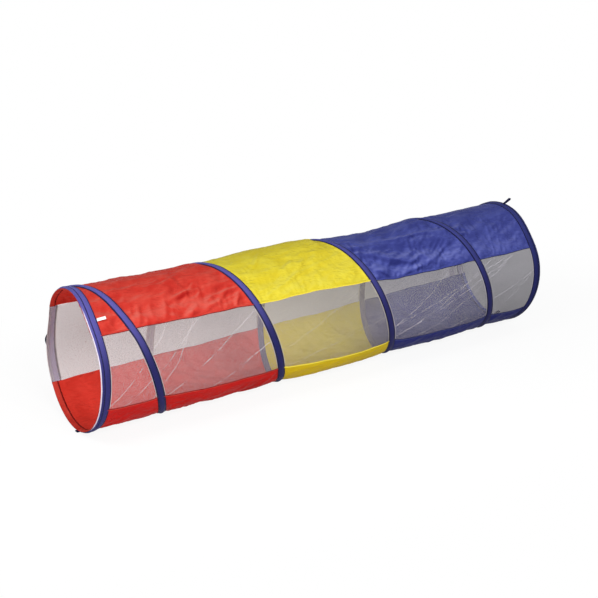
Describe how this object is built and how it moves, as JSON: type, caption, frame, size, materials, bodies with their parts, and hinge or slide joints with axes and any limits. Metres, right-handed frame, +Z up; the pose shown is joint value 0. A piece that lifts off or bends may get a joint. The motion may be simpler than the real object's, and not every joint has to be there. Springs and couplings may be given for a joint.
{
  "type": "play tunnel",
  "caption": "Pop-up crawl tunnel, open at both ends: taffeta top and bottom, net sides, a helical spring wire and an end ring at each mouth; it folds flat lengthwise.",
  "frame": {"origin": "on the floor, under the middle of the tunnel's length and width", "axes": "+X along the tunnel from the near, red mouth to the far, blue mouth; +Z up; the front net faces -Y"},
  "size_m": [1.8436, 0.4698, 0.4768],
  "materials": {
    "red_taffeta": "thin plain-weave taffeta, slight sheen, crinkled",
    "yellow_taffeta": "thin plain-weave taffeta, slight sheen, crinkled",
    "blue_taffeta": "thin plain-weave taffeta, slight sheen, crinkled",
    "white_net": "fine white net, see-through",
    "casing_tape": "woven blue-purple tape, stitched at both edges",
    "spring_steel": "drawn spring wire",
    "tie_ribbon": "dark navy ribbon",
    "label_cloth": "white woven label, bare"
  },
  "bodies": {
    "near_end": {"near_rim_tape": "casing_tape", "near_ring_wire": "spring_steel", "near_ring_ferrule": "spring_steel", "coil_wire": "spring_steel", "coil_casing_tape": "casing_tape", "red_top_panel": "red_taffeta", "red_bottom_panel": "red_taffeta", "near_front_net": "white_net", "near_back_net": "white_net", "near_rear_tie_loop": "tie_ribbon", "near_bottom_tie_loop": "tie_ribbon", "care_label": "label_cloth"},
    "middle_length": {"yellow_top_panel": "yellow_taffeta", "yellow_bottom_panel": "yellow_taffeta", "middle_front_net": "white_net", "middle_back_net": "white_net"},
    "far_length": {"blue_top_panel": "blue_taffeta", "blue_bottom_panel": "blue_taffeta", "far_front_net": "white_net", "far_back_net": "white_net"},
    "far_end": {"far_rim_tape": "casing_tape", "far_ring_wire": "spring_steel", "far_ring_ferrule": "spring_steel", "far_top_tie_loop": "tie_ribbon", "far_bottom_tie_loop": "tie_ribbon"}
  },
  "joints": [
    {"name": "collapse", "type": "slide", "parent": "near_end", "child": "far_end", "axis": [-1, 0, 0], "range_m": [0, 1.73], "stiffness_N_per_m": 0.9, "springref_m": -0.9, "deforming": ["coil_wire", "coil_casing_tape", "red_top_panel", "red_bottom_panel", "near_front_net", "near_back_net", "care_label"]},
    {"name": "middle_gather", "type": "slide", "parent": "near_end", "child": "middle_length", "axis": [-1, 0, 0], "range_m": [0, 0.6473], "deforming": ["yellow_top_panel", "yellow_bottom_panel", "middle_front_net", "middle_back_net"]},
    {"name": "far_gather", "type": "slide", "parent": "near_end", "child": "far_length", "axis": [-1, 0, 0], "range_m": [0, 1.0858], "deforming": ["blue_top_panel", "blue_bottom_panel", "far_front_net", "far_back_net"]}
  ],
  "couplings": [
    {"joint": "middle_gather", "follows": "collapse", "ratio": 0.3741},
    {"joint": "far_gather", "follows": "collapse", "ratio": 0.6276}
  ]
}
